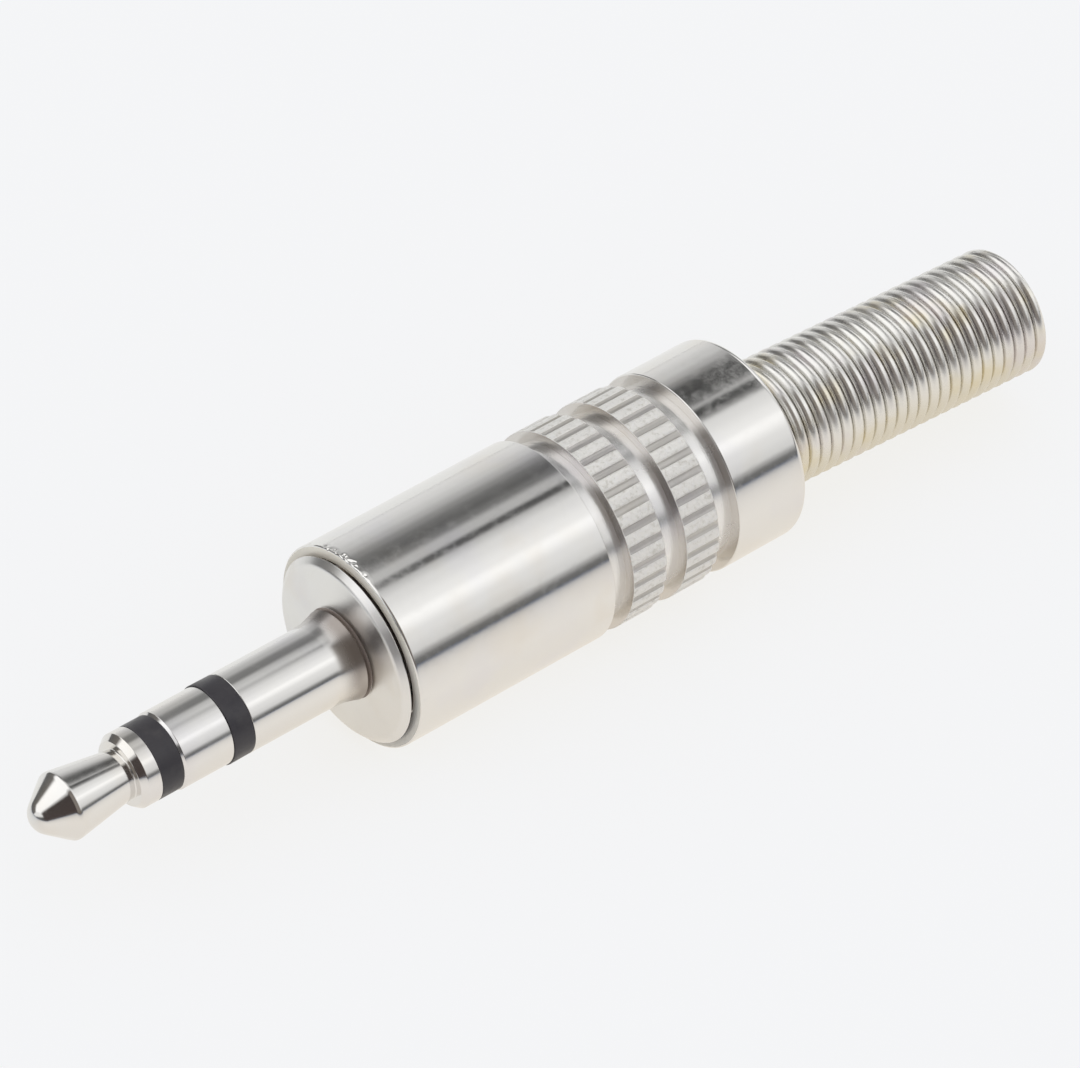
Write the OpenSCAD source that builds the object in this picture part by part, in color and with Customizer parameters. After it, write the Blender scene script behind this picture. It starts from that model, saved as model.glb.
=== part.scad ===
// Stereo jack plug, 2.5 mm, three poles, with a knurled screw shell and a coil spring strain relief.
// The plug axis is X: the tip points along -X, the cable leaves along +X, +Z is up.
// The origin is the centre of the flange face that seats against a socket.

/* [Plug] */
// Flange face to the end of the tip
plug_length = 10.9; // [9.5:0.1:14]
// Diameter of the sleeve contact
plug_diameter = 2.5; // [2.3:0.05:3.5]
// Flange face to the front of the sleeve contact
sleeve_length = 4.01; // [3:0.05:5.5]
// Length of the black band between ring and sleeve
ring_insulator_length = 0.73; // [0.4:0.01:1.2]
// Length of the ring contact
ring_length = 1.71; // [1:0.01:2.5]
// Length of the black band between tip and ring
tip_insulator_length = 0.76; // [0.4:0.01:1.2]
// Radial step from the sleeve down to the ring contact
ring_step = 0.035; // [0:0.005:0.1]
// Radial taper of the ring insulator, from its proud front edge back to the sleeve
insulator_taper = 0.01; // [0.005:0.005:0.05]
// Radial step from the sleeve down to the tip collar and its insulator
collar_step = 0.085; // [0:0.005:0.2]
// Length of the straight tip collar
collar_length = 0.43; // [0.2:0.01:0.8]
// Length of the sloping shoulder in front of the tip collar
shoulder_length = 0.2; // [0.1:0.01:0.6]
// Radial height of the steep step from the waist up to the shoulder
shoulder_step = 0.25; // [0.05:0.01:0.3]
// Smallest diameter behind the nose
waist_diameter = 1.52; // [1.2:0.02:1.9]
// Largest diameter of the nose
nose_diameter = 2.12; // [1.9:0.02:2.3]
// Half angle of the nose cone, in degrees
nose_angle = 37; // [25:1:45]
// Radius of the round end of the nose
nose_ball = 0.62; // [0.3:0.01:0.7]
// Radius of the round rim behind the nose cone
nose_rim = 0.24; // [0.04:0.01:0.3]
// Bevel at the front of the ring contact
ring_bevel = 0.08; // [0.02:0.01:0.15]

/* [Contact stack] */
// Diameter of the rod behind the tip
rod_diameter = 0.7; // [0.5:0.02:0.8]
// Wall of the insulating tubes around rod and ring tube
insulation_wall = 0.15; // [0.1:0.01:0.2]
// Wall of the tube behind the ring contact
ring_tube_wall = 0.18; // [0.12:0.01:0.24]
// Wall of the sleeve's riveted spigot
spigot_wall = 0.25; // [0.15:0.01:0.35]
// Radial gap between nested contacts and insulators
fit_gap = 0.015; // [0.005:0.005:0.03]
// Radial overhang of each riveted end
rivet_overhang = 0.16; // [0.08:0.01:0.25]
// Height of each riveted end
rivet_height = 0.14; // [0.08:0.01:0.25]
// Thickness of the insulating washers
washer_thickness = 0.45; // [0.3:0.05:0.7]

/* [Flange and thread] */
// Radial setback of the flange from the shell
flange_step = 0.26; // [0.1:0.01:0.4]
// Width of the bevel round the flange face
flange_bevel = 0.2; // [0.1:0.01:0.25]
// Length of the straight rim behind that bevel
flange_rim = 0.02; // [0.02:0.01:0.3]
// Length of the cone at the root of the sleeve
root_length = 0.48; // [0.3:0.01:1]
// Radial rise of the cone at the root of the sleeve
root_rise = 0.17; // [0.14:0.01:0.3]
// Width of the relief groove between that cone and the flange face
root_groove = 0.13; // [0.05:0.01:0.2]
// Depth of that groove
root_groove_depth = 0.12; // [0.05:0.01:0.14]
// Radial clearance of the flange face round that cone
root_clearance = 0.02; // [0.01:0.01:0.05]
// Pitch of the shell thread
thread_pitch = 0.5; // [0.35:0.05:0.6]
// Length of the threaded boss behind the flange
thread_length = 3; // [2.4:0.1:3.6]
// Width of the thread relief behind the flange
relief_width = 0.25; // [0.15:0.01:0.4]
// Bevel at both ends of the thread
thread_bevel = 0.12; // [0.06:0.01:0.2]

/* [Solder lugs] */
// Thickness of the lug sheet
lug_thickness = 0.25; // [0.18:0.01:0.3]
// Width of the ring and tip solder tabs
tab_width = 0.9; // [0.7:0.05:1.1]
// Diameter of the solder hole in each tab
tab_hole = 0.42; // [0.3:0.02:0.5]
// Width of the sleeve lug round its rivet hole
lug_land = 0.285; // [0.2:0.005:0.4]
// Width of the washers outside the lug discs
washer_rim = 0.2; // [0.1:0.01:0.3]
// Width of the sleeve lug's strip
strip_width = 1.4; // [1:0.05:1.6]
// Inside radius of the lug bends
bend_radius = 0.15; // [0.05:0.01:0.2]
// Diameter of the cable that the clamp holds
clamp_diameter = 2.2; // [1.8:0.05:2.2]
// Length of the cable clamp along the cable
clamp_length = 2.4; // [1.6:0.1:3]
// Height of the clamp wings above the cable axis
wing_height = 0.95; // [0.5:0.05:1.2]
// Distance from the clamp to the end of the insulating tube
clamp_setback = 0.3; // [0.1:0.05:0.6]
// Distance from the tip tab's end to the clamp
tab_setback = 0.3; // [0.2:0.05:0.6]
// Distance between the ends of the two tabs
tab_stagger = 0.6; // [0:0.05:0.8]
// Slope of the strip where it runs in to the clamp, in degrees
jog_slope = 34; // [25:1:45]
// Gap between the lugs and the pieces round them
lug_gap = 0.1; // [0.05:0.01:0.15]

/* [Shell] */
// Outside diameter of the shell
shell_diameter = 6.42; // [6.2:0.02:8]
// Length of the smooth front of the shell
front_land = 7.16; // [6.2:0.02:10]
// Width of each groove beside the knurled bands
groove_width = 0.7; // [0.4:0.01:1]
// Depth of those grooves
groove_depth = 0.39; // [0.2:0.01:0.45]
// Width of each knurled band
knurl_width = 1.305; // [0.8:0.005:2]
// Depth of the slots between the knurl ribs
knurl_depth = 0.1; // [0.05:0.01:0.15]
// Width of the slots between the knurl ribs
knurl_slot = 0.17; // [0.1:0.01:0.25]
// Radial setback of the knurled bands from the shell
knurl_setback = 0.02; // [0:0.01:0.1]
// Number of ribs round each knurled band
knurl_ribs = 33; // [24:1:40]
// Length of the smooth collar at the rear of the shell
rear_collar = 2.62; // [2:0.01:4]
// Wall between the groove floor and the bore
neck_wall = 0.34; // [0.25:0.01:0.5]
// Length of the rear lip that holds the spring
lip_length = 2.9; // [1.5:0.05:3.2]
// Radius of the shell's front edge
front_edge = 0.05; // [0.02:0.01:0.2]
// Radius of the shell's rear edge
rear_edge = 0.2; // [0.05:0.01:0.4]
// Depth of the plain mouth in front of the shell thread
mouth_depth = 0.4; // [0.2:0.05:0.8]
// Gap of the seam between flange and shell
seam_gap = 0.16; // [0.05:0.01:0.25]
// Radial gap between the shell's plain mouth and the thread
mouth_gap = 0.06; // [0.02:0.01:0.1]

/* [Insulating tube] */
// Wall of the insulating tube inside the shell
tube_wall = 0.22; // [0.15:0.01:0.3]
// Radial gap between the insulating tube and the shell bore
tube_gap = 0.05; // [0.03:0.01:0.08]

/* [Spring] */
// Outside diameter of the spring
spring_diameter = 4.08; // [3.8:0.02:4.1]
// Diameter of the spring wire
wire_diameter = 0.41; // [0.34:0.01:0.44]
// Gap between neighbouring turns
turn_gap = 0.01; // [0.005:0.001:0.05]
// Length of the spring outside the shell
spring_reach = 10.6; // [6:0.1:14]
// Turns of the wide coil behind the shell lip
flare_turns = 1; // [1:0.25:2]
// Place round X where the wire starts, in degrees from +Y
wire_start = 135; // [0:5:355]
// Lean of the spring in the shell's rear hole, in degrees
spring_lean = 2.4; // [0:0.1:3]
// Direction of that lean round X, in degrees from +Y
lean_side = 220; // [0:5:355]
// Clearance round the spring
spring_gap = 0.04; // [0.03:0.01:0.06]

/* [Hidden] */
$fn = 96;

nickel = [0.78, 0.77, 0.74];
tinned = [0.74, 0.74, 0.72];
black_plastic = [0.1, 0.1, 0.11];
fibre = [0.45, 0.27, 0.16];
clear_plastic = [0.86, 0.87, 0.85];
spring_wire = [0.72, 0.71, 0.68];

cut_margin = 0.1;
arc_steps = 6;

// Axial places of the plug
sleeve_front = -sleeve_length;
ring_rear = sleeve_front - ring_insulator_length;
ring_front = ring_rear - ring_length;
tip_rear = ring_front - tip_insulator_length;
collar_front = tip_rear - collar_length;
waist_x = collar_front - shoulder_length;
tip_end = -plug_length;

// Radii of the plug
plug_r = plug_diameter / 2;
ring_r = plug_r - ring_step;
insulator_rear_r = plug_r - insulator_taper;
collar_r = plug_r - collar_step;
nose_r = nose_diameter / 2;
waist_r = waist_diameter / 2;
shoulder_r = waist_r + shoulder_step;

// Nested radii, from the rod outwards
rod_r = rod_diameter / 2;
tip_tube_in = rod_r + fit_gap;
tip_tube_out = tip_tube_in + insulation_wall;
ring_tube_in = tip_tube_out + fit_gap;
ring_tube_out = ring_tube_in + ring_tube_wall;
ring_sleeve_in = ring_tube_out + fit_gap;
ring_sleeve_out = ring_sleeve_in + insulation_wall;
sleeve_bore = ring_sleeve_out + fit_gap;
spigot_r = sleeve_bore + spigot_wall;

// Axial places of the riveted stack behind the boss
flange_thickness = flange_bevel + flange_rim;
boss_end = flange_thickness + thread_length;
sleeve_end = boss_end + lug_thickness + rivet_height;
ring_lug_x = sleeve_end + washer_thickness;
ring_tube_end = ring_lug_x + lug_thickness + rivet_height;
tip_lug_x = ring_tube_end + washer_thickness;
tip_lug_rear = tip_lug_x + lug_thickness;

// Shell, bore and thread
shell_r = shell_diameter / 2;
groove_r = shell_r - groove_depth;
bore_r = groove_r - neck_wall;
external_thread_depth = 0.6134 * thread_pitch;
internal_thread_depth = 0.5413 * thread_pitch;
thread_r = bore_r + internal_thread_depth;
boss_r = thread_r - external_thread_depth;
flange_r = shell_r - flange_step;
mouth_r = thread_r + mouth_gap;
shell_front = flange_thickness + seam_gap;
land_end = shell_front + front_land;
band_places = [land_end + groove_width, land_end + 2 * groove_width + knurl_width];
collar_start = land_end + 3 * groove_width + 2 * knurl_width;
shell_rear = collar_start + rear_collar;
lip_front = shell_rear - lip_length;
knurl_r = shell_r - knurl_setback;

// Spring and insulating tube
wire_r = wire_diameter / 2;
coil_r = spring_diameter / 2 - wire_r;
turn_pitch = wire_diameter + turn_gap;
seat_tilt = tan(spring_lean) * bore_r;
spring_front = lip_front - flare_turns * turn_pitch - wire_diameter - seat_tilt - spring_gap;
lean_x = shell_rear - lip_length / 2;
flare_shift = tan(spring_lean) * (lean_x - spring_front);
flare_r = bore_r - flare_shift - spring_gap - wire_r;
spring_end = shell_rear + spring_reach;
spring_turns = (spring_end - spring_front - wire_diameter) / turn_pitch;
flare_fade = 0.6;
steps_per_turn = 16;
wire_sides = 8;
hole_r = spring_diameter / 2 + tan(spring_lean) * lip_length / 2 + spring_gap;
tube_front = boss_end + lug_gap;
tube_rear = spring_front - seat_tilt - spring_gap;
tube_out = bore_r - tube_gap;
tube_in = tube_out - tube_wall;

// Lugs
clamp_r = clamp_diameter / 2;
clamp_end = tube_rear - clamp_setback;
clamp_start = clamp_end - clamp_length;
strip_r = sqrt(pow(tube_in - lug_gap, 2) - pow(strip_width / 2, 2));
washer_r = strip_r - lug_thickness - 2 * lug_gap;
tab_r = washer_r + lug_gap + lug_thickness;
lug_hole_r = spigot_r + fit_gap;
lug_disc_r = lug_hole_r + lug_land;
tab_disc_r = washer_r - washer_rim;
tip_tab_end = clamp_start - tab_setback;
ring_tab_end = tip_tab_end - tab_stagger;
jog_end = clamp_start - lug_gap;
jog_start = jog_end - (strip_r - clamp_r - lug_thickness) / tan(jog_slope);

// Points along a circular arc, angles in degrees
function arc(centre, radius, from, to) =
    [for (i = [0:arc_steps]) let (a = from + (to - from) * i / arc_steps)
        [centre[0] + radius * cos(a), centre[1] + radius * sin(a)]];

// A turned solid round X, from points given as [radius, x]
module turned(points) {
    rotate([0, 90, 0]) rotate_extrude() polygon(points);
}

// A round hole or rod along X
module along_x(from, to, radius) {
    translate([from, 0, 0]) rotate([0, 90, 0]) cylinder(h = to - from, r = radius);
}

// A flat ring along X
module ring_along_x(from, to, inner, outer) {
    turned([[inner, from], [outer, from], [outer, to], [inner, to]]);
}

// A side outline given as [x, z], pulled out to a width along Y
module side_outline(points, width) {
    rotate([90, 0, 0]) linear_extrude(width, center = true) polygon(points);
}

module tip_contact() {
    ball_x = tip_end + nose_ball;
    rim_r = nose_r - nose_rim;
    cone_rise = rim_r + nose_rim * cos(nose_angle) - nose_ball * cos(nose_angle);
    rim_x = ball_x + (nose_rim - nose_ball) * sin(nose_angle) + cone_rise / tan(nose_angle);
    taper = atan2(nose_r - waist_r, waist_x - rim_x);
    head_r = rod_r + rivet_overhang;
    color(nickel) turned(concat(
        arc([0, ball_x], nose_ball, -90, -nose_angle),
        arc([rim_r, rim_x], nose_rim, -nose_angle, taper),
        [[waist_r, waist_x], [shoulder_r, waist_x], [collar_r, collar_front]],
        [[collar_r, tip_rear], [rod_r, tip_rear], [rod_r, tip_lug_rear]],
        [[head_r, tip_lug_rear]],
        arc([head_r - rivet_height, tip_lug_rear], rivet_height, 0, 90),
        [[0, tip_lug_rear + rivet_height]]));
}

module tip_insulator() {
    color(black_plastic) turned([
        [tip_tube_in, tip_rear], [collar_r, tip_rear], [collar_r, ring_front],
        [tip_tube_out, ring_front], [tip_tube_out, ring_tube_end], [tip_tube_in, ring_tube_end]]);
}

module ring_contact() {
    lug_rear = ring_lug_x + lug_thickness;
    color(nickel) turned([
        [ring_tube_in, ring_front], [ring_r - ring_bevel, ring_front],
        [ring_r, ring_front + ring_bevel], [ring_r, ring_rear],
        [ring_tube_out, ring_rear], [ring_tube_out, lug_rear],
        [ring_tube_out + rivet_overhang, lug_rear], [ring_tube_out, ring_tube_end],
        [ring_tube_in, ring_tube_end]]);
}

module ring_insulator() {
    color(black_plastic) turned([
        [ring_sleeve_in, ring_rear], [plug_r, ring_rear], [insulator_rear_r, sleeve_front],
        [ring_sleeve_out, sleeve_front], [ring_sleeve_out, sleeve_end], [ring_sleeve_in, sleeve_end]]);
}

// Barrel, seating flange, threaded boss and riveted spigot, turned as one piece
module sleeve_contact() {
    root_r = plug_r + root_rise;
    lug_rear = boss_end + lug_thickness;
    relief_r = boss_r - thread_bevel;
    color(nickel) turned([
        [sleeve_bore, sleeve_front], [plug_r, sleeve_front], [plug_r, -root_length - root_groove],
        [root_r, -root_groove], [root_r - root_groove_depth, -root_groove / 2],
        [root_r + root_clearance, 0], [flange_r - flange_bevel, 0], [flange_r, flange_bevel],
        [flange_r, flange_thickness], [relief_r, flange_thickness],
        [relief_r, flange_thickness + relief_width],
        [boss_r, flange_thickness + relief_width + thread_bevel], [boss_r, boss_end - thread_bevel],
        [relief_r, boss_end], [spigot_r, boss_end], [spigot_r, lug_rear],
        [spigot_r + rivet_overhang, lug_rear], [spigot_r, sleeve_end], [sleeve_bore, sleeve_end]]);
}

// Solder lug for the cable screen, bent into a strip that ends in the cable clamp
module sleeve_lug() {
    rear = boss_end + lug_thickness;
    low_r = clamp_r + lug_thickness;
    bend_x = rear + bend_radius;
    bend_z = strip_r - lug_thickness - bend_radius;
    miter = lug_thickness * tan(jog_slope / 2);
    strip_end = clamp_start + clamp_length / 4;
    color(tinned) difference() {
        union() {
            along_x(boss_end, rear, lug_disc_r);
            mirror([0, 0, 1]) side_outline(concat(
                [[boss_end, 0]],
                arc([bend_x, bend_z], bend_radius + lug_thickness, 180, 90),
                [[jog_start, strip_r], [jog_end, low_r], [strip_end, low_r]],
                [[strip_end, clamp_r], [jog_end - miter, clamp_r]],
                [[jog_start - miter, strip_r - lug_thickness]],
                arc([bend_x, bend_z], bend_radius, 90, 180),
                [[rear, 0]]), strip_width);
            cable_clamp();
        }
        along_x(boss_end - cut_margin, rear + cut_margin, lug_hole_r);
    }
}

// Open trough with two wings that fold over the cable
module cable_clamp() {
    outer = clamp_r + lug_thickness;
    translate([clamp_start, 0, 0]) rotate([90, 0, 90]) linear_extrude(clamp_length) {
        difference() {
            circle(outer);
            circle(clamp_r);
            translate([-outer, 0]) square([2 * outer, outer]);
        }
        for (side = [-1, 1])
            translate([side * (clamp_r + lug_thickness / 2), wing_height / 2])
                square([lug_thickness, wing_height], center = true);
    }
}

// Insulating washer of the riveted stack
module stack_washer(front, inner) {
    color(fibre) ring_along_x(front, front + washer_thickness, inner, washer_r);
}

module ring_lug_washer() {
    stack_washer(sleeve_end, ring_sleeve_in);
}

module tip_lug_washer() {
    stack_washer(ring_tube_end, tip_tube_in);
}

// Solder lug: a disc on the riveted tube, with one tab bent back along the cable
module solder_lug(front, tab_end, hole, turn) {
    rear = front + lug_thickness;
    bend_x = rear + bend_radius;
    bend_z = tab_r - lug_thickness - bend_radius;
    round_x = tab_end - tab_width / 2;
    color(tinned) rotate([turn, 0, 0]) difference() {
        union() {
            along_x(front, rear, tab_disc_r);
            intersection() {
                side_outline(concat(
                    [[front, 0]],
                    arc([bend_x, bend_z], bend_radius + lug_thickness, 180, 90),
                    [[tab_end, tab_r], [tab_end, tab_r - lug_thickness]],
                    arc([bend_x, bend_z], bend_radius, 90, 180),
                    [[rear, 0]]), tab_width);
                linear_extrude(tab_r + cut_margin) {
                    translate([front, -tab_width / 2]) square([round_x - front, tab_width]);
                    translate([round_x, 0]) circle(d = tab_width);
                }
            }
        }
        along_x(front - cut_margin, rear + cut_margin, hole);
        translate([round_x, 0, 0]) cylinder(h = tab_r + cut_margin, d = tab_hole);
    }
}

module ring_lug() {
    solder_lug(ring_lug_x, ring_tab_end, ring_sleeve_in, -90);
}

module tip_lug() {
    solder_lug(tip_lug_x, tip_tab_end, tip_tube_in, 90);
}

module insulating_tube() {
    color(clear_plastic) ring_along_x(tube_front, tube_rear, tube_in, tube_out);
}

// Ring of straight knurl ribs, made by slots round a plain band
module knurl_band(front) {
    slot_floor = knurl_r - knurl_depth;
    translate([front, 0, 0]) rotate([90, 0, 90]) linear_extrude(knurl_width) difference() {
        circle(knurl_r);
        for (i = [0:knurl_ribs - 1])
            rotate((i + 0.5) * 360 / knurl_ribs)
                translate([slot_floor, -knurl_slot / 2])
                    square([knurl_depth + cut_margin, knurl_slot]);
    }
}

module shell() {
    color(nickel) difference() {
        union() {
            turned(concat(
                [[0, shell_front]],
                arc([shell_r - front_edge, shell_front + front_edge], front_edge, -90, 0),
                [[shell_r, land_end], [groove_r, land_end], [groove_r, collar_start]],
                [[shell_r, collar_start]],
                arc([shell_r - rear_edge, shell_rear - rear_edge], rear_edge, 0, 90),
                [[0, shell_rear]]));
            for (place = band_places)
                knurl_band(place);
        }
        along_x(shell_front - cut_margin, shell_front + mouth_depth, mouth_r);
        along_x(shell_front, lip_front, bore_r);
        along_x(lip_front - cut_margin, shell_rear + cut_margin, hole_r);
    }
}

// Closely wound coil whose first turns are wider, so that the shell lip holds them
module strain_relief_spring() {
    rings = ceil(spring_turns * steps_per_turn);
    lean_axis = [0, -sin(lean_side), cos(lean_side)];
    points = [for (i = [0:rings]) let (turn = spring_turns * i / rings) each wire_ring(turn)];
    sides = [for (i = [0:rings - 1], j = [0:wire_sides - 1])
        let (a = i * wire_sides + j, b = i * wire_sides + (j + 1) % wire_sides)
        each [[a, b, b + wire_sides], [a, b + wire_sides, a + wire_sides]]];
    front_cap = [for (j = [wire_sides - 1:-1:0]) j];
    rear_cap = [for (j = [0:wire_sides - 1]) rings * wire_sides + j];
    color(spring_wire) translate([lean_x, 0, 0]) rotate(a = spring_lean, v = lean_axis)
        translate([spring_front - lean_x, 0, 0])
            polyhedron(points, concat(sides, [front_cap, rear_cap]));
}

// Corners of the wire's section at one place along the coil
function wire_ring(turn) =
    let (angle = wire_start + 360 * turn,
         fade = min(1, max(0, (turn - flare_turns) / flare_fade)),
         ease = fade * fade * (3 - 2 * fade),
         middle_r = flare_r + (coil_r - flare_r) * ease,
         middle_x = wire_r + turn_pitch * turn)
    [for (j = [0:wire_sides - 1]) let (a = 360 * j / wire_sides, r = middle_r + wire_r * cos(a))
        [middle_x + wire_r * sin(a), r * cos(angle), r * sin(angle)]];

tip_contact();
tip_insulator();
ring_contact();
ring_insulator();
sleeve_contact();
sleeve_lug();
ring_lug_washer();
ring_lug();
tip_lug_washer();
tip_lug();
insulating_tube();
shell();
strain_relief_spring();
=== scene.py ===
import math
import random

import bpy
import numpy as np
from mathutils import Matrix, Vector


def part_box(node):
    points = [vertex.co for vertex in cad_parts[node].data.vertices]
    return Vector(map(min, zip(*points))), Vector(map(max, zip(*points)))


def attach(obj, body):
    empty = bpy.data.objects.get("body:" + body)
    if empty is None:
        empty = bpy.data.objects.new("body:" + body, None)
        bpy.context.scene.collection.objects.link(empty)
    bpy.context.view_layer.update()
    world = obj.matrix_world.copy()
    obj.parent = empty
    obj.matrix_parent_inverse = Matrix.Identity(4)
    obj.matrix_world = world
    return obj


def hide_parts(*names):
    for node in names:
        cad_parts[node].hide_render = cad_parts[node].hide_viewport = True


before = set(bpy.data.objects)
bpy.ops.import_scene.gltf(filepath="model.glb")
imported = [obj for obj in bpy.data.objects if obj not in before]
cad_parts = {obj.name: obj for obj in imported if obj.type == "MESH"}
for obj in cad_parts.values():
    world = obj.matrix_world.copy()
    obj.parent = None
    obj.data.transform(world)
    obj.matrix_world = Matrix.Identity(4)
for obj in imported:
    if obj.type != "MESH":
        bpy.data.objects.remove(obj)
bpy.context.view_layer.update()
scene = bpy.context.scene
mm = 0.001  # sizes below are millimetres, Blender works in metres
tiny = 1e-4  # millimetres, less than any step between two rings


def nodeSpan(name):
    # front, rear and largest radius of a CAD node about the plug's axis
    low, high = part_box(name)
    reach = max(math.hypot(v.co.y, v.co.z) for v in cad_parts[name].data.vertices)
    return low.x / mm, high.x / mm, reach / mm


tipEnd, tipRivet, _ = nodeSpan("tip_contact")
tipRear, tipTubeEnd, collarRadius = nodeSpan("tip_insulator")
ringFront, ringRivet, ringRadius = nodeSpan("ring_contact")
ringRear, sleeveTubeEnd, plugRadius = nodeSpan("ring_insulator")
sleeveFront, sleeveRivet, flangeRadius = nodeSpan("sleeve_contact")
shellFront, shellRear, shellRadius = nodeSpan("shell")
_, springRear, _ = nodeSpan("strain_relief_spring")
print("frame read: plug from", round(tipEnd, 2), "to", round(springRear, 2), "mm")


# Turned pieces

turning = {
    "segments": 144, "outward": 0.9,  # least radial part of a normal on the outside
    "filletStep": 11, "smallFillet": 0.07, "smallStep": 30, "leastSteps": 2, "stepSlack": 0.01,
}


def leftOf(direction):
    return np.array([-direction[1], direction[0]])


def roundedOutline(corners, closed=True):
    # corners are (x, radius, fillet), then a finish where the piece has several
    # they are walked so that the metal lies to the right
    places = [np.array(corner[:2], float) for corner in corners]
    outline = []
    for i, (_, _, fillet, *finish) in enumerate(corners):
        finish = finish[0] if finish else 0
        before = places[i] - places[i - 1]
        after = places[(i + 1) % len(corners)] - places[i]
        if not closed and i in (0, len(corners) - 1):
            run = after if i == 0 else before
            normal = leftOf(run / np.linalg.norm(run))
            outline.append((*places[i], *normal, finish))
            continue
        before = before / np.linalg.norm(before)
        after = after / np.linalg.norm(after)
        turn = math.atan2(before[0] * after[1] - before[1] * after[0], before @ after)
        side = math.copysign(1, turn)
        start = places[i] - before * fillet * math.tan(abs(turn) / 2)
        centre = start + side * fillet * leftOf(before)
        step = turning["smallStep"] if fillet < turning["smallFillet"] else turning["filletStep"]
        steps = math.ceil(math.degrees(abs(turn)) / step - turning["stepSlack"])
        steps = max(turning["leastSteps"], steps)
        for k in range(steps + 1):
            c, s = math.cos(turn * k / steps), math.sin(turn * k / steps)
            along = np.array([before[0] * c - before[1] * s, before[0] * s + before[1] * c])
            normal = leftOf(along)
            outline.append((*(centre - side * fillet * normal), *normal, finish))
    return outline


def splitRun(outline, start, end, step):
    # extra rings along the straight run on the outside that holds start to end
    split = []
    for point, after in zip(outline, outline[1:] + outline[:1]):
        split.append(point)
        x, radius, nx, nr, finish = point
        nextX, nextRadius, _, nextNr, _ = after
        if min(nr, nextNr) < turning["outward"] or x > start + tiny or nextX < end - tiny:
            continue
        for place in np.linspace(start, end, math.ceil((end - start) / step) + 1):
            if x + tiny < place < nextX - tiny:
                share = (place - x) / (nextX - x)
                split.append((place, radius + (nextRadius - radius) * share, nx, nr, finish))
    return split


def turnedMesh(name, outline, closed=True, segments=None, lift=None, finishAt=None):
    # spins an outline round X; lift gives each ring's change of radius, or None for a true ring
    segments = segments or turning["segments"]
    angles = np.arange(segments) * 2 * math.pi / segments

    def ring(along, out):
        return np.stack([along + 0 * angles, out * np.cos(angles), out * np.sin(angles)], 1)

    vertices, normals, rings = [], [], []
    for x, radius, nx, nr, finish in outline:
        rings.append((sum(len(v) for v in vertices), radius < tiny))
        if radius < tiny:
            vertices.append(np.array([[x, 0, 0]]))
            normals.append(np.array([[math.copysign(1, nx), 0, 0]]))
            continue
        raised = lift(x, radius, finish, angles) if lift else None
        if raised is None:
            vertices.append(ring(x, radius))
            normals.append(ring(nx, nr))
        else:
            vertices.append(ring(x, radius + raised))
            normals.append(ring(0, 0))  # a zero normal lets Blender work it out
    faces, finishes = [], []
    here = np.arange(segments)
    there = (here + 1) % segments
    pairs = list(zip(range(len(rings)), range(1, len(rings))))
    if closed:
        pairs.append((len(rings) - 1, 0))
    for i, j in pairs:
        (a, poleA), (b, poleB) = rings[i], rings[j]
        if poleA and poleB:
            continue
        if poleA:
            faces += [(a, b + n, b + m) for m, n in zip(here, there)]
        elif poleB:
            faces += [(a + m, a + n, b) for m, n in zip(here, there)]
        else:
            faces += [(a + m, a + n, b + n, b + m) for m, n in zip(here, there)]
        x, finish = outline[i][0], outline[i][4]
        finishes += list(finishAt(x, finish, angles)) if finishAt else [finish] * segments
    return meshFrom(name, np.concatenate(vertices), faces, finishes, np.concatenate(normals))


def meshFrom(name, vertices, faces, finishes=None, normals=None):
    mesh = bpy.data.meshes.new(name)
    mesh.from_pydata((vertices * mm).tolist(), [], [tuple(int(i) for i in face) for face in faces])
    mesh.polygons.foreach_set("use_smooth", [True] * len(mesh.polygons))
    if finishes is not None:
        mesh.polygons.foreach_set("material_index", finishes)
    if normals is not None:
        mesh.normals_split_custom_set_from_vertices(normals.tolist())
    mesh.update()
    return mesh


def addPiece(name, mesh, body, materials, node=None):
    piece = bpy.data.objects.new(name, mesh)
    scene.collection.objects.link(piece)
    for material in materials:
        mesh.materials.append(material)
    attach(piece, body)
    if node:
        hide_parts(node)


# Shader helpers

mixSockets = {"first": 6, "second": 7, "mixed": 2}  # places of the colour sockets on a Mix node


def addNode(tree, kind, inputs=None, **settings):
    # an input is a plain value, or another node's socket to link
    node = tree.nodes.new(kind)
    for key, value in settings.items():
        setattr(node, key, value)
    for key, value in (inputs or {}).items():
        if isinstance(value, bpy.types.NodeSocket):
            tree.links.new(value, node.inputs[key])
        else:
            node.inputs[key].default_value = value
    return node


def calculate(tree, operation, *values):
    return addNode(tree, "ShaderNodeMath", dict(enumerate(values)), operation=operation).outputs[0]


def calculateVector(tree, operation, *values):
    return addNode(tree, "ShaderNodeVectorMath", dict(enumerate(values)), operation=operation).outputs[0]


def scaleVector(tree, vector, scale):
    return addNode(tree, "ShaderNodeVectorMath", {0: vector, "Scale": scale}, operation="SCALE").outputs[0]


def mapRange(tree, value, start, end, low=0.0, high=1.0, smooth=False):
    inputs = {"Value": value, "From Min": start, "From Max": end, "To Min": low, "To Max": high}
    curve = "SMOOTHSTEP" if smooth else "LINEAR"
    return addNode(tree, "ShaderNodeMapRange", inputs, interpolation_type=curve).outputs[0]


def mixColours(tree, share, first, second):
    inputs = {"Factor": share, mixSockets["first"]: first, mixSockets["second"]: second}
    return addNode(tree, "ShaderNodeMix", inputs, data_type="RGBA").outputs[mixSockets["mixed"]]


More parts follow.
